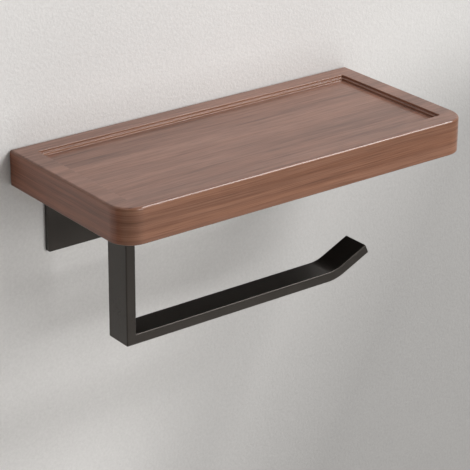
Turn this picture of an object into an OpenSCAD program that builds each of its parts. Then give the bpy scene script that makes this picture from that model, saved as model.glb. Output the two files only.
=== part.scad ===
// Wall-hung toilet paper holder with a wooden shelf above the roll arm.
// X runs along the wall, +Y points into the wall and +Z is up, in millimetres.
// The origin lies on the wall, midway between the two wall-screw holes.

/* [Shelf board] */
// Length of the board along the wall
board_length = 250; // [215:5:320]
// Depth of the board, from the wall to its front
board_depth = 115; // [96:1:150]
// Thickness of the board
board_thickness = 22; // [20:1:30]
// Radius of the two front corners, seen from above
board_corner_radius = 14; // [2:1:25]

/* [Tray recess] */
// Width of the raised rim around the recess
rim_width = 12; // [6:0.5:20]
// Depth of the narrow step inside the rim
step_depth = 1.5; // [0.5:0.1:2]
// Width of the narrow step inside the rim
step_width = 1.5; // [0.5:0.1:4]
// Depth of the recess floor below the rim
recess_depth = 3; // [2.5:0.1:6]
// Radius of the recess corners
recess_corner_radius = 1; // [0.5:0.1:6]

/* [Wall bracket] */
// Thickness of the bent sheet
bracket_thickness = 3; // [2.5:0.1:4]
// Distance from each end of the board to the bracket
bracket_inset = 22.5; // [10:0.5:40]
// Height of the upright wall plate, below the board
plate_height = 47; // [36:0.5:60]
// Inner radius of the bend
bend_radius = 2; // [1:0.5:5]
// Corner radius of the wall plate
plate_corner_radius = 1; // [0.5:0.5:8]
// Corner radius of the flange
flange_corner_radius = 5; // [1:0.5:10]
// How far the flange reaches past the arm, towards the front
flange_lip = 2.5; // [0:0.5:8]

/* [Roll arm] */
// Width of the flat bar, from its front face to its rear face
bar_width = 18.5; // [12:0.5:24]
// Thickness of the flat bar
bar_thickness = 6.4; // [4:0.1:8]
// Distance from the board's front face to the arm
arm_setback = 31; // [20:0.5:45]
// Drop from the underside of the board to the underside of the arm
arm_drop = 77; // [60:0.5:100]
// Straight length of the roll bar, from the post's outer face to the bend
arm_straight = 147.5; // [120:0.5:180]
// Inner radius of the bend near the end
tip_bend_radius = 24; // [10:1:40]
// Angle by which the end turns up
tip_angle = 25; // [10:1:60]
// Straight length after the bend
tip_length = 21; // [8:0.5:35]
// Length of the foot that lies under the flange
foot_length = 60; // [45:1:80]

/* [Wall fixing] */
// Distance between the two wall-screw holes
wall_hole_spacing = 140; // [100:5:160]
// Diameter of the wall-screw holes
wall_hole_diameter = 5.2; // [4:0.1:7]
// Drop from the underside of the board to the wall-screw holes
wall_hole_drop = 26; // [18:1:34]

/* [Screws] */
// Diameter of the wood screws that hold the board
board_screw_diameter = 4; // [3:0.5:5]
// How deep the wood screws go into the board
board_screw_bite = 13; // [9:0.5:14.5]
// Head diameter of the wood screws
board_screw_head = 8; // [6.5:0.5:9]
// Diameter of the machine screws that hold the arm
arm_screw_diameter = 4; // [3:0.5:5]
// How far the machine screws stop short of the board
arm_screw_gap_above = 1; // [0.5:0.1:1.5]
// Head diameter of the machine screws
arm_screw_head = 8; // [6.5:0.5:9]
// Distance between the two arm screws
arm_screw_spacing = 30; // [20:1:40]
// Distance from a rear wood screw to the end of the bracket and to its bend
board_screw_inset = 17.5; // [10:0.5:22]
// Distance from the arm to the heads of the front wood screws
board_screw_arm_gap = 5; // [3:0.5:8]
// Radial gap around every screw
screw_clearance = 0.1; // [0.05:0.05:0.3]

/* [Hidden] */
$fn = 96;
overcut = 1;              // how far a cutter passes a surface that it opens
walnut = "#8f6c5b";
charcoal = "#35322f";
screw_black = "#1d1c1b";

board_bottom = wall_hole_drop;
board_top = board_bottom + board_thickness;
bracket_length = board_length - 2 * bracket_inset;
arm_left = -bracket_length / 2;            // the arm is flush with the bracket's end
arm_front = arm_setback - board_depth;
arm_rear = arm_front + bar_width;
arm_middle = arm_front + bar_width / 2;
arm_bottom = board_bottom - arm_drop;
flange_front = arm_front - flange_lip;
flange_bottom = board_bottom - bracket_thickness;
foot_bottom = flange_bottom - bar_thickness;
outer_bend = bend_radius + bracket_thickness;
tip_bend_start = arm_left + arm_straight;
pilot_spare = 0.5;        // depth of a screw hole past the screw's point
board_screw_length = bracket_thickness + board_screw_bite;
arm_screw_length = bar_thickness + bracket_thickness - arm_screw_gap_above;

// Wood screws: two near the wall, and two just behind the arm, which leaves a driver room
screw_right = bracket_length / 2 - board_screw_inset;
screw_rear = -outer_bend - board_screw_inset;
screw_front = arm_rear + board_screw_arm_gap + board_screw_head / 2;
board_screw_places = [for (y = [screw_rear, screw_front], side = [-1, 1]) [side * screw_right, y]];

// Machine screws: centred on the part of the foot beyond the post
foot_middle = arm_left + (bar_thickness + foot_length) / 2;
arm_screw_places = [for (side = [-1, 1]) [foot_middle + side * arm_screw_spacing / 2, arm_middle]];

// Rectangle from a low corner, with its own radius at the rear and at the front corners
module rounded_rectangle(low, size, rear_radius, front_radius) {
    difference() {
        translate(low) square(size);
        for (right = [0, 1], rear = [0, 1]) {
            radius = rear == 1 ? rear_radius : front_radius;
            corner = [low.x + right * size.x, low.y + rear * size.y];
            if (radius > 0) translate(corner) mirror([right, 0]) mirror([0, rear]) difference() {
                translate([-overcut, -overcut]) square(radius + overcut);
                translate([radius, radius]) circle(radius);
            }
        }
    }
}

// Pocket below the board's top, inset from its edges
module tray_pocket(inset, depth) {
    low = [-board_length / 2 + inset, -board_depth + inset];
    size = [board_length - 2 * inset, board_depth - 2 * inset];
    translate([0, 0, board_top - depth]) linear_extrude(depth + overcut)
        rounded_rectangle(low, size, recess_corner_radius, recess_corner_radius);
}

// Countersunk screw, head down at z = 0 and pointing up
module countersunk_screw(diameter, length, head, point) {
    head_height = (head - diameter) / 2;
    difference() {
        union() {
            cylinder(h = head_height, d1 = head, d2 = diameter);
            translate([0, 0, head_height]) cylinder(h = length - head_height - point, d = diameter);
            if (point > 0) translate([0, 0, length - point]) cylinder(h = point, d1 = diameter, d2 = 0.4);
        }
        children();
    }
}

// Hole that such a screw passes through, with its countersink at z = 0
module countersunk_hole(diameter, head, depth) {
    hole = diameter + 2 * screw_clearance;
    sink = head + 2 * screw_clearance;
    translate([0, 0, -overcut]) cylinder(h = depth + 2 * overcut, d = hole);
    cylinder(h = (sink - hole) / 2, d1 = sink, d2 = hole);
    translate([0, 0, -overcut]) cylinder(h = overcut, d = sink);
}

module cross_recess(head) {
    slot_width = head / 8;
    slot_length = head * 0.55;
    slot_depth = head / 6;
    for (turn = [0, 90]) rotate(turn)
        translate([-slot_length / 2, -slot_width / 2, -overcut])
            cube([slot_length, slot_width, slot_depth + overcut]);
}

module hex_recess(head) {
    translate([0, 0, -overcut]) cylinder(h = head / 5 + overcut, d = head * 0.36, $fn = 6);
}

module shelf_board() {
    pilot_depth = board_screw_bite + pilot_spare;
    color(walnut) difference() {
        translate([0, 0, board_bottom]) linear_extrude(board_thickness)
            rounded_rectangle([-board_length / 2, -board_depth], [board_length, board_depth],
                0, board_corner_radius);
        tray_pocket(rim_width, step_depth);
        tray_pocket(rim_width + step_width, recess_depth);
        for (place = board_screw_places) translate([place.x, place.y, board_bottom - overcut])
            cylinder(h = pilot_depth + overcut, d = board_screw_diameter + 2 * screw_clearance);
    }
}

module wall_bracket() {
    color(charcoal) difference() {
        union() {
            // Upright plate, against the wall
            translate([0, 0, board_bottom - plate_height]) rotate([90, 0, 0])
                linear_extrude(bracket_thickness)
                    rounded_rectangle([-bracket_length / 2, 0],
                        [bracket_length, plate_height - outer_bend], 0, plate_corner_radius);
            // Flange, under the board
            translate([0, 0, flange_bottom]) linear_extrude(bracket_thickness)
                rounded_rectangle([-bracket_length / 2, flange_front],
                    [bracket_length, -outer_bend - flange_front], 0, flange_corner_radius);
            // Bend between them
            translate([-bracket_length / 2, -outer_bend, board_bottom - outer_bend]) rotate([90, 0, 90])
                linear_extrude(bracket_length) intersection() {
                    difference() {
                        circle(outer_bend);
                        circle(bend_radius);
                    }
                    square(outer_bend);
                }
        }
        for (side = [-1, 1]) translate([side * wall_hole_spacing / 2, overcut, 0]) rotate([90, 0, 0])
            cylinder(h = bracket_thickness + 2 * overcut, d = wall_hole_diameter);
        for (place = board_screw_places) translate([place.x, place.y, flange_bottom])
            countersunk_hole(board_screw_diameter, board_screw_head, bracket_thickness);
        for (place = arm_screw_places) translate([place.x, place.y, flange_bottom - overcut])
            cylinder(h = bracket_thickness + 2 * overcut, d = arm_screw_diameter + 2 * screw_clearance);
    }
}

// Point on the bend's arc of the given radius, at an angle past straight down
function bend_point(radius, angle) =
    [tip_bend_start, arm_bottom + tip_bend_radius + bar_thickness] + radius * [sin(angle), -cos(angle)];

// Outline of the bent bar, seen from the front
module arm_outline() {
    outer = tip_bend_radius + bar_thickness;
    steps = 20;
    turned_up = tip_length * [cos(tip_angle), sin(tip_angle)];
    polygon(concat(
        [[arm_left, flange_bottom], [arm_left, arm_bottom]],
        [for (i = [0 : steps]) bend_point(outer, tip_angle * i / steps)],
        [bend_point(outer, tip_angle) + turned_up, bend_point(tip_bend_radius, tip_angle) + turned_up],
        [for (i = [steps : -1 : 0]) bend_point(tip_bend_radius, tip_angle * i / steps)],
        [[arm_left + bar_thickness, arm_bottom + bar_thickness], [arm_left + bar_thickness, foot_bottom]],
        [[arm_left + foot_length, foot_bottom], [arm_left + foot_length, flange_bottom]]
    ));
}

module roll_arm() {
    color(charcoal) difference() {
        translate([0, arm_rear, 0]) rotate([90, 0, 0]) linear_extrude(bar_width) arm_outline();
        for (place = arm_screw_places) translate([place.x, place.y, foot_bottom])
            countersunk_hole(arm_screw_diameter, arm_screw_head, bar_thickness);
    }
}

module board_screw(place) {
    color(screw_black) translate([place.x, place.y, flange_bottom])
        countersunk_screw(board_screw_diameter, board_screw_length, board_screw_head, board_screw_diameter)
            cross_recess(board_screw_head);
}

module arm_screw(place) {
    color(screw_black) translate([place.x, place.y, foot_bottom])
        countersunk_screw(arm_screw_diameter, arm_screw_length, arm_screw_head, 0)
            hex_recess(arm_screw_head);
}

shelf_board();
wall_bracket();
roll_arm();
for (i = [0 : len(arm_screw_places) - 1])
    arm_screw(arm_screw_places[i]);
for (i = [0 : len(board_screw_places) - 1])
    board_screw(board_screw_places[i]);
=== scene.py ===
"""Looks of the wall-hung toilet paper holder: oiled walnut board, black powder-coated steel, black screws."""

import math

import bmesh
import bpy
from mathutils import Matrix, Quaternion, Vector


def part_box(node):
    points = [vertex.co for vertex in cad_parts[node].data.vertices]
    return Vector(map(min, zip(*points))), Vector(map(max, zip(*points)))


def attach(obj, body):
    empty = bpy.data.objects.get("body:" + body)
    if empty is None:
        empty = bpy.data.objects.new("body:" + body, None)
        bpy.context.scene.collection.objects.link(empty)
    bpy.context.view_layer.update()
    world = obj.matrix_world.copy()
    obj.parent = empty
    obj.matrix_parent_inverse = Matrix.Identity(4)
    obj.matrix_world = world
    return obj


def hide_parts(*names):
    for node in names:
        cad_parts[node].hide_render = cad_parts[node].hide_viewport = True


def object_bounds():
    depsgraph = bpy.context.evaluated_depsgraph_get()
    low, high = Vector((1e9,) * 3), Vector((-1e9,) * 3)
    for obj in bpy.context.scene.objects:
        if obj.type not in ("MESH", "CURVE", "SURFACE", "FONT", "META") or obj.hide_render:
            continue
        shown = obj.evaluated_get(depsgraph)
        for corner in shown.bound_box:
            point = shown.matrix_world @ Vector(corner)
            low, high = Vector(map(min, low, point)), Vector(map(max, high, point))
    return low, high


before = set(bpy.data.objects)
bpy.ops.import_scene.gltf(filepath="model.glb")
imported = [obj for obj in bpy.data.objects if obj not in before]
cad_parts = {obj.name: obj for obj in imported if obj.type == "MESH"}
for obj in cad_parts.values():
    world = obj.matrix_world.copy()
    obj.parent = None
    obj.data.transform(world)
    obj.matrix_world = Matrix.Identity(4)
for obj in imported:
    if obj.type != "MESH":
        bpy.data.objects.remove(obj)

CAD_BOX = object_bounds()
MM = 0.001
LIGHT_TARGET = Vector((0, -0.06, -0.01))
ARM_SCREWS = (1, 2)
BOARD_SCREWS = (1, 2, 3, 4)

# Wood colours from the darkest streaks to the palest
WOOD_TONES = [
    (0.30, (0.095, 0.041, 0.025)),
    (0.42, (0.168, 0.079, 0.049)),
    (0.50, (0.212, 0.104, 0.067)),
    (0.58, (0.245, 0.125, 0.083)),
    (0.72, (0.310, 0.172, 0.120)),
]


# ---------------------------------------------------------------- helpers

def link(name, mesh):
    """A new object of that mesh, at the origin of the row frame."""
    piece = bpy.data.objects.new(name, mesh)
    bpy.context.scene.collection.objects.link(piece)
    return piece


def mesh_of(bm, name):
    mesh = bpy.data.meshes.new(name)
    bmesh.ops.recalc_face_normals(bm, faces=bm.faces)
    bm.to_mesh(mesh)
    bm.free()
    return mesh


def smooth(piece, angle):
    """Smooth shading that keeps large flat faces flat and edges over the angle sharp."""
    for face in piece.data.polygons:
        face.use_smooth = True
    piece.data.set_sharp_from_angle(angle=math.radians(angle))
    weighted = piece.modifiers.new("weighted", "WEIGHTED_NORMAL")
    weighted.keep_sharp = True
    weighted.weight = 100


def finish_piece(piece, body, slot, material, *nodes):
    """Gives a piece its material and body, and hides the CAD nodes that it stands for; the slot is not used.
    """
    piece.data.materials.clear()
    piece.data.materials.append(material)
    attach(piece, body)
    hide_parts(*nodes)


# ---------------------------------------------------------------- node helpers

class Nodes:
    """Short calls for building one material's node tree."""

    def __init__(self, name):
        self.material = bpy.data.materials.new(name)
        self.material.use_nodes = True
        self.tree = self.material.node_tree
        self.tree.nodes.clear()
        self.output = self.tree.nodes.new("ShaderNodeOutputMaterial")
        self.place = self.tree.nodes.new("ShaderNodeTexCoord").outputs["Object"]

    def put(self, socket, value):
        if isinstance(value, bpy.types.NodeSocket):
            self.tree.links.new(value, socket)
        else:
            socket.default_value = value

    def node(self, kind, settings=None, **inputs):
        made = self.tree.nodes.new(kind)
        for key, value in (settings or {}).items():
            setattr(made, key, value)
        for key, value in inputs.items():
            self.put(made.inputs[key], value)
        return made

    def math(self, operation, first, second=0.0):
        made = self.tree.nodes.new("ShaderNodeMath")
        made.operation = operation
        self.put(made.inputs[0], first)
        self.put(made.inputs[1], second)
        return made.outputs[0]

    def vector(self, operation, first, second):
        made = self.tree.nodes.new("ShaderNodeVectorMath")
        made.operation = operation
        self.put(made.inputs[0], first)
        self.put(made.inputs[1], second)
        return made.outputs[0]

    def stretched(self, scale, source, shift=(0, 0, 0)):
        """Coordinates in metres, scaled separately along each axis and then shifted."""
        made = self.node("ShaderNodeMapping", Vector=source, Scale=scale, Location=shift)
        return made.outputs[0]

    def noise(self, vector, scale=1.0, detail=3.0, roughness=0.5):
        made = self.node("ShaderNodeTexNoise", Vector=vector, Scale=scale, Detail=detail,
                         Roughness=roughness)
        return made.outputs["Fac"]

    def ramp(self, factor, stops):
        """A colour that runs through stops of a position and a colour."""
        made = self.node("ShaderNodeValToRGB", Fac=factor)
        elements = made.color_ramp.elements
        while len(elements) < len(stops):
            elements.new(0.5)
        for element, (position, colour) in zip(elements, stops):
            element.position = position
            element.color = (*colour, 1)
        return made.outputs[0]

    def mix(self, factor, first, second, blend="MIX"):
        """A colour between two colours."""
        made = self.tree.nodes.new("ShaderNodeMix")
        made.data_type = "RGBA"
        made.blend_type = blend
        self.put(made.inputs["Factor"], factor)
        self.put(made.inputs[6], first if isinstance(first, bpy.types.NodeSocket) else (*first, 1))
        self.put(made.inputs[7], second if isinstance(second, bpy.types.NodeSocket) else (*second, 1))
        return made.outputs[2]

    def tinted(self, colour, share):
        """A colour with each channel scaled by its share."""
        return self.mix(1.0, colour, share, "MULTIPLY")

    def blend(self, factor, first, second):
        """A number between two numbers."""
        made = self.tree.nodes.new("ShaderNodeMix")
        self.put(made.inputs["Factor"], factor)
        self.put(made.inputs[2], first)
        self.put(made.inputs[3], second)
        return made.outputs[0]

    def map(self, value, low, high, to_low=0.0, to_high=1.0, kind="LINEAR"):
        """A number carried from one range to another, and held at its ends."""
        made = self.node("ShaderNodeMapRange", {"interpolation_type": kind}, Value=value)
        for key, number in (("From Min", low), ("From Max", high), ("To Min", to_low), ("To Max", to_high)):
            made.inputs[key].default_value = number
        return made.outputs[0]

    def bump(self, height, distance, strength=1.0, normal=None):
        made = self.node("ShaderNodeBump", Height=height, Distance=distance, Strength=strength)
        if normal is not None:
            self.put(made.inputs["Normal"], normal)
        return made.outputs[0]

    def shader(self, **inputs):
        made = self.tree.nodes.new("ShaderNodeBsdfPrincipled")
        for key, value in inputs.items():
            self.put(made.inputs[key.replace("_", " ")], value)
        self.tree.links.new(made.outputs[0], self.output.inputs["Surface"])
        return self.material


# ---------------------------------------------------------------- materials

def walnut():
    """Oiled walnut: the grain runs along X on top and level around the edges."""
    n = Nodes("oiled_walnut")
    facing = n.node("ShaderNodeNewGeometry").outputs["Normal"]
    facing = n.node("ShaderNodeSeparateXYZ", Vector=facing)
    on_top = n.map(n.math("ABSOLUTE", facing.outputs["Z"]), 0.60, 0.85, kind="SMOOTHSTEP")
    on_end = n.map(n.math("ABSOLUTE", facing.outputs["X"]), 0.70, 1.0, kind="SMOOTHSTEP")

    # A slow warp bends the fibres a little, as in a real board
    bend_reach = (0.0, 0.006, 0.004)
    warp = n.node("ShaderNodeTexNoise", Vector=n.stretched((6, 20, 20), n.place), Scale=1.0, Detail=1.0)
    bend = n.vector("SUBTRACT", warp.outputs["Color"], (0.5, 0.5, 0.5))
    place = n.vector("ADD", n.place, n.vector("MULTIPLY", bend, bend_reach))

    edge_lengthening = 0.6
    edge_fineness = 2.2
    edge_shift = (3.1, 1.7, 0.3)

    def fibres(long, wide, **looks):
        """Streaks along X on the top, and longer and finer level streaks on the edges."""
        edge_long = long * edge_lengthening
        edge_scale = (edge_long, edge_long, wide * edge_fineness)
        top = n.noise(n.stretched((long, wide, long), place), **looks)
        edge = n.noise(n.stretched(edge_scale, place, edge_shift), **looks)
        return n.blend(on_top, edge, top)

    broad = fibres(2.6, 75.0, detail=3.0, roughness=0.6)
    streaks = fibres(10.0, 330.0, detail=3.0, roughness=0.6)
    threads = fibres(30.0, 900.0, detail=2.0, roughness=0.6)
    pores = fibres(80.0, 1900.0, detail=1.0, roughness=0.5)

    # The board is glued up from strips, each of its own tone, with a fine pale line at the joints
    strip_width = 25.5 * MM
    strip_shift = 0.5
    tone_step = 2.6
    tone_start = 1.03
    tone_reach = 0.020
    line_start = 0.480
    line_strength = 0.30
    across = n.node("ShaderNodeSeparateXYZ", Vector=n.place).outputs["Y"]
    strip = n.math("ADD", n.math("DIVIDE", across, strip_width), strip_shift)
    number = n.math("FLOOR", strip)
    strip_tone = n.math("SINE", n.math("ADD", n.math("MULTIPLY", number, tone_step), tone_start))
    strip_tone = n.math("MULTIPLY", n.math("MULTIPLY", strip_tone, on_top), tone_reach)
    from_middle = n.math("ABSOLUTE", n.math("SUBTRACT", n.math("FRACT", strip), 0.5))
    joint_line = n.math("MULTIPLY", n.map(from_middle, line_start, 0.5), on_top)
    joint_line = n.math("MULTIPLY", joint_line, line_strength)

    # Tone: broad bands and streaks, then threads, with more contrast on the top than on the edges
    streak_share = n.map(on_top, 0.0, 1.0, 0.42, 0.50)
    thread_share = 0.34
    tone = n.blend(streak_share, broad, streaks)
    tone = n.blend(thread_share, tone, threads)
    edge_tone = n.map(tone, 0.40, 0.60, 0.385, 0.615)
    top_tone = n.map(tone, 0.40, 0.60, 0.355, 0.645)
    tone = n.math("ADD", n.blend(on_top, edge_tone, top_tone), strip_tone)

    colour = n.ramp(tone, WOOD_TONES)
    palest = WOOD_TONES[-1][1]
    warmth = n.map(fibres(9.0, 120.0, detail=2.0), 0.42, 0.60, 0.0, 0.35)
    colour = n.mix(warmth, colour, n.tinted(colour, (1.05, 0.93, 0.80)))
    colour = n.mix(joint_line, colour, palest)
    pore_mask = n.map(pores, 0.54, 0.66, 0.0, 0.50)
    colour = n.mix(pore_mask, colour, n.tinted(colour, (0.50, 0.45, 0.42)))

    # The top gets a painted grey sheen over a darker copy of the colour, the sides a warmer copy without it,
    # and the ends are redder
    top_sheen_share = 0.08
    top_sheen_grey = (0.20, 0.165, 0.150)
    # Painted sheen on the top: a darker copy of the wood colour, greyed towards a pale grey
    painted_top_sheen = n.mix(top_sheen_share, n.tinted(colour, (0.77, 0.66, 0.62)), top_sheen_grey)
    side_colour = n.tinted(colour, (1.00, 0.95, 0.89))
    side_colour = n.mix(on_end, side_colour, n.tinted(side_colour, (1.0, 0.74, 0.60)))
    colour = n.mix(on_top, side_colour, painted_top_sheen)
    rough = n.map(tone, 0.3, 0.7, 0.48, 0.38)
    normal = n.bump(n.blend(0.4, threads, pores), 0.10 * MM, 0.25)
    return n.shader(Base_Color=colour, Roughness=rough, Normal=normal, Specular_IOR_Level=0.16,
                    Coat_Weight=0.68, Coat_Roughness=0.18)


def powder_coat():
    """Matt black powder coat with a fine orange-peel skin."""
    n = Nodes("black_powder_coat")
    skin = n.noise(n.place, scale=1500.0, detail=2.0)
    waves = n.noise(n.place, scale=260.0, detail=2.0)
    cloud = n.noise(n.place, scale=35.0, detail=3.0)
    colour = n.ramp(cloud, [(0.3, (0.0085, 0.007, 0.0058)), (0.7, (0.012, 0.010, 0.0083))])
    rough = n.map(n.blend(0.5, cloud, skin), 0.3, 0.7, 0.27, 0.36)
    normal = n.bump(skin, 0.06 * MM, 0.5, n.bump(waves, 0.10 * MM, 0.35))
    return n.shader(Base_Color=colour, Roughness=rough, Normal=normal, Specular_IOR_Level=0.62,
                    Specular_Tint=(1.0, 0.90, 0.82, 1.0))


def black_zinc():
    """Black zinc plating on the screws."""
    n = Nodes("black_zinc")
    grains = n.noise(n.place, scale=3000.0)
    cloud = n.noise(n.place, scale=600.0, detail=3.0)
    colour = n.ramp(cloud, [(0.3, (0.035, 0.035, 0.037)), (0.7, (0.075, 0.073, 0.070))])
    rough = n.map(cloud, 0.3, 0.7, 0.28, 0.42)
    normal = n.bump(grains, 0.03 * MM, 0.4)
    return n.shader(Base_Color=colour, Roughness=rough, Normal=normal, Metallic=0.9)


def see_through_from_behind(n, shader):
    """Wraps a stage surface so that a view from its back, and light on what touches it, pass through."""
    touching = 1 * MM
    behind = n.node("ShaderNodeNewGeometry").outputs["Backfacing"]
    near = n.math("LESS_THAN", n.node("ShaderNodeLightPath").outputs["Ray Length"], touching)
    clear = n.node("ShaderNodeBsdfTransparent").outputs[0]
    mixed = n.node("ShaderNodeMixShader", Fac=n.math("MAXIMUM", behind, near))
    n.put(mixed.inputs[1], shader)
    n.put(mixed.inputs[2], clear)
    n.tree.links.new(mixed.outputs[0], n.output.inputs["Surface"])


def painted_wall_shade(n):
    """Painted shade on the wall: it falls off to the right, and slantwise below the level of the shelf."""
    split = n.node("ShaderNodeSeparateXYZ", Vector=n.place)
    across = split.outputs["X"]
    height = split.outputs["Z"]
    slant_across = 1.3
    slant_down = 0.7
    slant = n.math("SUBTRACT", n.math("MULTIPLY", across, slant_across),
                   n.math("MULTIPLY", height, slant_down))
    near = n.map(slant, 0.0, 0.17, 0.90, 0.55, kind="SMOOTHSTEP")
    below = n.math("SUBTRACT", near, n.map(slant, 0.19, 0.32, 0.0, 0.125))
    over = n.map(across, 0.0, 0.28, 0.81, 0.65, kind="SMOOTHSTEP")
    shade = n.blend(n.map(height, -0.02, 0.07, kind="SMOOTHSTEP"), below, over)
    return n.node("ShaderNodeCombineXYZ", X=shade, Y=shade, Z=shade).outputs[0]


def plaster(name, colour_low, colour_high, with_painted_shade=False):
    """Fine matt plaster between two tones, with the wall's painted shade if it is the wall."""
    n = Nodes(name)
    speckle = n.noise(n.place, scale=520.0, detail=4.0, roughness=0.65)
    cloud = n.noise(n.place, scale=9.0, detail=3.0)
    cloud_share = 0.25
    colour = n.ramp(n.blend(cloud_share, speckle, cloud), [(0.30, colour_low), (0.70, colour_high)])
    if with_painted_shade:
        # The wall colour is darkened by painted shade
        colour = n.mix(1.0, colour, painted_wall_shade(n), "MULTIPLY")
    normal = n.bump(speckle, 0.6 * MM, 0.35)
    shader = n.node("ShaderNodeBsdfDiffuse", Color=colour, Normal=normal).outputs[0]
    see_through_from_behind(n, shader)
    return n.material


# ---------------------------------------------------------------- board

def rounded_loop(bm, low, high, inset, height, front_radius, rear_radius):
    """One ring of vertices: a rectangle drawn in by an inset, with round corners, at one height."""
    steps = 10
    smallest_radius = 0.05 * MM
    x0, x1 = low.x + inset, high.x - inset
    y0, y1 = low.y + inset, high.y - inset
    corners = [(x0, y0, 1, 1, 180, front_radius), (x1, y0, -1, 1, 270, front_radius),
               (x1, y1, -1, -1, 0, rear_radius), (x0, y1, 1, -1, 90, rear_radius)]
    ring = []
    for x, y, inward_x, inward_y, start, radius in corners:
        radius = max(radius, smallest_radius)
        for i in range(steps + 1):
            a = math.radians(start + 90 * i / steps)
            ring.append(bm.verts.new((x + inward_x * radius + radius * math.cos(a),
                                      y + inward_y * radius + radius * math.sin(a), height)))
    return ring


def quarter(start_inset, start_z, end_inset, end_z, level_first, steps=6):
    """A quarter round between two points of the section, which leaves the first one level or upright."""
    points = []
    for i in range(steps + 1):
        a = math.radians(90 * i / steps)
        u, v = (math.sin(a), 1 - math.cos(a)) if level_first else (1 - math.cos(a), math.sin(a))
        points.append((start_inset + (end_inset - start_inset) * u, start_z + (end_z - start_z) * v))
    return points


def make_board(material):
    """The board with its rounded edges, tray recess and pilot holes."""
    low, high = (Vector(v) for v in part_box("shelf_board"))
    corner_radius = 14 * MM
    rear_corner_radius = 1 * MM
    rear_corner_tightening = 0.8
    bottom_round = 0.9 * MM
    top_round = 1.5 * MM
    rim = 12 * MM
    rim_round = 0.5 * MM
    step_depth = 1.5 * MM
    step_width = 1.5 * MM
    step_round = 0.5 * MM
    ledge_round = 0.3 * MM
    recess_depth = 3 * MM
    floor_round = 0.35 * MM
    recess_corner = 1 * MM

    section = quarter(bottom_round, low.z, 0, low.z + bottom_round, True)
    section += quarter(0, high.z - top_round, top_round, high.z, False)
    outer_count = len(section)
    section += quarter(rim - rim_round, high.z, rim, high.z - rim_round, True)
    ledge = high.z - step_depth
    wall = rim + step_width
    section += quarter(rim, ledge + ledge_round, rim + ledge_round, ledge, False, 3)
    section += quarter(wall - step_round, ledge, wall, ledge - step_round, True, 4)
    floor = high.z - recess_depth
    section += quarter(wall, floor + floor_round, wall + floor_round, floor, False, 5)

    bm = bmesh.new()
    rings = []
    for k, (inset, z) in enumerate(section):
        if k < outer_count:
            front_radius = corner_radius - inset
            rear_radius = rear_corner_radius - inset * rear_corner_tightening
        else:
            front_radius = recess_corner + max(rim - inset, 0)
            rear_radius = front_radius
        rings.append(rounded_loop(bm, low, high, inset, z, front_radius, rear_radius))
    for lower, upper in zip(rings, rings[1:]):
        for i in range(len(lower)):
            j = (i + 1) % len(lower)
            bm.faces.new((lower[i], lower[j], upper[j], upper[i]))
    bm.faces.new(rings[0][::-1])
    bm.faces.new(rings[-1])
    board = link("walnut_board", mesh_of(bm, "walnut_board"))
    cut_pilot_holes(board, low)
    smooth(board, 50)
    finish_piece(board, "root", "walnut", material, "shelf_board")


def cut_pilot_holes(board, low):
    """Blind holes in the underside, one for each wood screw."""
    hole_radius = 2.1 * MM
    past_the_point = 0.5 * MM
    overcut = 1 * MM
    bm = bmesh.new()
    for i in BOARD_SCREWS:
        first, last = (Vector(v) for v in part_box(f"board_screw_{i}"))
        middle = (first + last) / 2
        top = last.z + past_the_point
        bottom = low.z - overcut
        centre = Matrix.Translation((middle.x, middle.y, (top + bottom) / 2))
        bmesh.ops.create_cone(bm, cap_ends=True, segments=32, radius1=hole_radius, radius2=hole_radius,
                              depth=top - bottom, matrix=centre)
    cutter = link("pilot_cutter", mesh_of(bm, "pilot_cutter"))
    cut = board.modifiers.new("pilots", "BOOLEAN")
    cut.object = cutter
    cut.solver = "EXACT"
    bake(board)
    bpy.data.objects.remove(cutter)


def bake(piece):
    """Applies the modifiers of a piece to its mesh."""
    bpy.context.view_layer.update()
    made = bpy.data.meshes.new_from_object(piece.evaluated_get(bpy.context.evaluated_depsgraph_get()))
    piece.modifiers.clear()
    piece.data = made


# ---------------------------------------------------------------- steel

def soft_edged(node, name, width, material, slot):
    """The CAD node's own shape with its edges rounded by the coating."""
    same_place = 0.002 * MM
    flat_angle = math.radians(0.4)
    edge_angle = 35
    bm = bmesh.new()
    bm.from_mesh(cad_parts[node].data)
    bmesh.ops.remove_doubles(bm, verts=bm.verts, dist=same_place)
    bmesh.ops.dissolve_limit(bm, angle_limit=flat_angle, verts=bm.verts, edges=bm.edges)
    piece = link(name, mesh_of(bm, name))
    bevel = piece.modifiers.new("edges", "BEVEL")
    bevel.width = width
    bevel.segments = 4
    bevel.limit_method = "ANGLE"
    bevel.angle_limit = math.radians(edge_angle)
    bevel.use_clamp_overlap = True
    bake(piece)
    smooth(piece, edge_angle)
    finish_piece(piece, "root", slot, material, node)


# ---------------------------------------------------------------- screws

def turned(rows, segments, radius_at):
    """A closed mesh turned about Z: one ring of vertices a row, each with its radius at every angle."""
    bm = bmesh.new()
    rings = []
    for z, radius in rows:
        ring = []
        for i in range(segments):
            a = 2 * math.pi * i / segments
            r = radius_at(z, a, radius)
            ring.append(bm.verts.new((r * math.cos(a), r * math.sin(a), z)))
        rings.append(ring)
    for lower, upper in zip(rings, rings[1:]):
        for i in range(segments):
            j = (i + 1) % segments
            bm.faces.new((lower[i], lower[j], upper[j], upper[i]))
    bm.faces.new(rings[0][::-1])
    bm.faces.new(rings[-1])
    return bm


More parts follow.
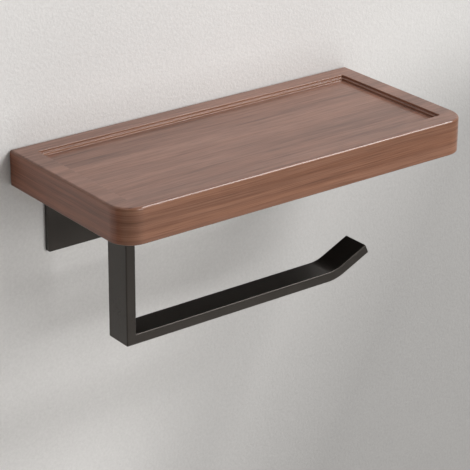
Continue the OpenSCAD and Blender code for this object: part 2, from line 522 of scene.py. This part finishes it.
def cross_driver(bm, arm, half_width, depth):
    """Tapered cross recess, cut upwards from z = 0 and narrower at its floor."""
    overcut = 0.5 * MM
    floor_arm = arm * 0.5
    floor_half_width = half_width * 0.8
    rings = []
    for z, a, w in ((-overcut, arm, half_width), (depth, floor_arm, floor_half_width)):
        quarter_outline = [(a, -w), (a, w), (w, w)]
        outline = [Matrix.Rotation(math.radians(turn), 2) @ Vector(corner)
                   for turn in (0, 90, 180, 270) for corner in quarter_outline]
        rings.append([bm.verts.new((corner.x, corner.y, z)) for corner in outline])
    lower, upper = rings
    for i in range(len(lower)):
        j = (i + 1) % len(lower)
        bm.faces.new((lower[i], lower[j], upper[j], upper[i]))
    bm.faces.new(lower[::-1])
    bm.faces.new(upper)


def hex_driver(bm, across_corners, depth):
    """Hexagonal socket, cut upwards from z = 0."""
    overcut = 0.5 * MM
    radius = across_corners / 2
    centre = Matrix.Translation((0, 0, (depth - overcut) / 2))
    bmesh.ops.create_cone(bm, cap_ends=True, segments=6, radius1=radius, radius2=radius,
                          depth=depth + overcut, matrix=centre)


def make_screw(node, material, pitch, core_share, point_length, driver):
    """Countersunk screw with a helical thread, in the place and outer size of its CAD node."""
    low, high = (Vector(v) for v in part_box(node))
    length = high.z - low.z
    head_radius = (high.x - low.x) / 2
    shank_radius = head_radius / 2
    cone = head_radius - shank_radius
    core = shank_radius * core_share
    rim = 0.25 * MM
    rim_round = 0.12 * MM
    thread_start = cone + 0.5 * MM
    head = [(0, head_radius - rim_round), (rim_round * 0.35, head_radius - rim_round * 0.25),
            (rim_round, head_radius), (rim, head_radius), (cone, shank_radius), (thread_start, shank_radius)]
    segments = 36
    rows_per_turn = 12
    count = int((length - thread_start) / pitch * rows_per_turn)
    step = (length - thread_start) / count
    rows = head + [(thread_start + step * (k + 1), None) for k in range(count)]
    blunt_end = core * 0.9
    sharp_end = 0.2 * MM
    tip_radius = sharp_end if point_length else blunt_end
    groove_steepness = 1.5

    def radius_at(z, angle, fixed):
        """The head's own radius, or on the shank the thread's at that height and angle."""
        if fixed is not None:
            return fixed
        groove = abs((z / pitch - angle / (2 * math.pi)) % 1 - 0.5) * 2
        run_in = min(1, (z - thread_start) / pitch)
        depth = min(1, groove_steepness * groove) * run_in
        outer = shank_radius - (shank_radius - core) * depth
        left = length - z
        if point_length and left < point_length:
            limit = tip_radius + (shank_radius - tip_radius) * left / point_length
            return min(outer, limit)
        return min(outer, tip_radius + left)

    bm = turned(rows, segments, radius_at)
    piece = link(node + "_plated", mesh_of(bm, node + "_plated"))
    cutter_mesh = bmesh.new()
    driver(cutter_mesh)
    cutter = link("driver_cutter", mesh_of(cutter_mesh, "driver_cutter"))
    cut = piece.modifiers.new("driver", "BOOLEAN")
    cut.object = cutter
    cut.solver = "EXACT"
    bake(piece)
    bpy.data.objects.remove(cutter)
    place = Matrix.Translation(((low.x + high.x) / 2, (low.y + high.y) / 2, low.z))
    piece.data.transform(place)
    smooth(piece, 32)
    finish_piece(piece, "root", "black_screw", material, node)


def hex_socket(bm):
    hex_driver(bm, across_corners=2.88 * MM, depth=1.6 * MM)


def cross_slot(bm):
    cross_driver(bm, arm=2.2 * MM, half_width=0.5 * MM, depth=1.35 * MM)


def make_screws(material):
    """Fine blunt machine screws in the arm, and coarse pointed wood screws in the board."""
    for i in ARM_SCREWS:
        make_screw(f"arm_screw_{i}", material, pitch=0.7 * MM, core_share=0.80, point_length=0,
                   driver=hex_socket)
    for i in BOARD_SCREWS:
        make_screw(f"board_screw_{i}", material, pitch=1.8 * MM, core_share=0.66, point_length=4 * MM,
                   driver=cross_slot)


# ---------------------------------------------------------------- stage, light and camera

def make_stage():
    """The wall just behind the holder and the floor below it, in metres."""
    half = 2.2
    floor_height = -0.75
    wall_gap = 0.3 * MM
    # The wall gets painted shade; the floor stays evenly pale
    wall_colour = plaster("plaster_wall", (0.80, 0.782, 0.762), (0.90, 0.882, 0.862), True)
    floor_colour = plaster("pale_floor", (0.74, 0.72, 0.69), (0.80, 0.78, 0.75))
    for name, corners, material in (
        ("wall", [(-half, wall_gap, floor_height), (half, wall_gap, floor_height), (half, wall_gap, half),
                  (-half, wall_gap, half)], wall_colour),
        ("floor", [(-half, -half, floor_height), (half, -half, floor_height), (half, wall_gap, floor_height),
                   (-half, wall_gap, floor_height)], floor_colour),
    ):
        bm = bmesh.new()
        bm.faces.new([bm.verts.new(c) for c in corners])
        mesh = bpy.data.meshes.new(name)
        bm.to_mesh(mesh)
        bm.free()
        plane = link(name, mesh)
        mesh.materials.append(material)


def add_light(name, azimuth, elevation, size, power, long_side=(0, 0, 1)):
    """A soft box: azimuth in degrees to the right of straight in front, then degrees above level."""
    distance = 1.6
    data = bpy.data.lights.new(name, "AREA")
    data.shape = "RECTANGLE"
    data.size, data.size_y = size
    data.energy = power
    lamp = bpy.data.objects.new(name, data)
    bpy.context.scene.collection.objects.link(lamp)
    turn, rise = math.radians(azimuth), math.radians(elevation)
    away = Vector((math.sin(turn) * math.cos(rise), -math.cos(turn) * math.cos(rise), math.sin(rise)))
    side = Vector(long_side).cross(away).normalized()
    lamp.location = LIGHT_TARGET + away * distance
    lamp.rotation_mode = "QUATERNION"
    lamp.rotation_quaternion = Matrix((side, away.cross(side), away)).transposed().to_quaternion()
    lamp.visible_camera = False


def make_lights():
    """Soft boxes around the holder, in the directions and shares that give its faces their tones."""
    world = bpy.data.worlds.new("studio")
    bpy.context.scene.world = world
    world.use_nodes = True
    background = world.node_tree.nodes["Background"]
    background.inputs["Color"].default_value = (0.98, 0.99, 1.0, 1)
    background.inputs["Strength"].default_value = 0.08
    add_light("right_box", 55, 46, (0.75, 0.9), 29, (0, 0.88, 0.47))
    add_light("front_level", 10, 5, (0.8, 0.8), 12)
    add_light("left_fill", -65, 55, (0.8, 0.8), 2)


def make_camera():
    """Seen from the front left and above, as a visitor would look down on it."""
    azimuth = math.radians(37.39)
    elevation = math.radians(23.50)
    roll = math.radians(0.4165)
    distance = 1.2116
    focal_length = 156.83
    sensor_width = 36
    aim_shift = Vector((-0.00996, -0.0050, -0.01144))
    low, high = (Vector(v) for v in CAD_BOX)
    aim = (low + high) / 2 + aim_shift
    back = Vector((-math.sin(azimuth) * math.cos(elevation), -math.cos(azimuth) * math.cos(elevation),
                   math.sin(elevation)))
    data = bpy.data.cameras.new("camera")
    data.lens = focal_length
    data.sensor_width = sensor_width
    data.clip_start = 0.05
    data.clip_end = 20.0
    camera = bpy.data.objects.new("camera", data)
    bpy.context.scene.collection.objects.link(camera)
    camera.location = aim + back * distance
    camera.rotation_mode = "QUATERNION"
    camera.rotation_quaternion = back.to_track_quat("Z", "Y") @ Quaternion((0, 0, 1), roll)
    bpy.context.scene.camera = camera


make_camera()
wood = walnut()
coat = powder_coat()
plating = black_zinc()
make_board(wood)
soft_edged("wall_bracket", "bracket_sheet", 0.45 * MM, coat, "black_coat")
soft_edged("roll_arm", "roll_bar", 0.75 * MM, coat, "black_coat")
make_screws(plating)
make_stage()
make_lights()
bpy.context.scene.view_settings.view_transform = "Standard"
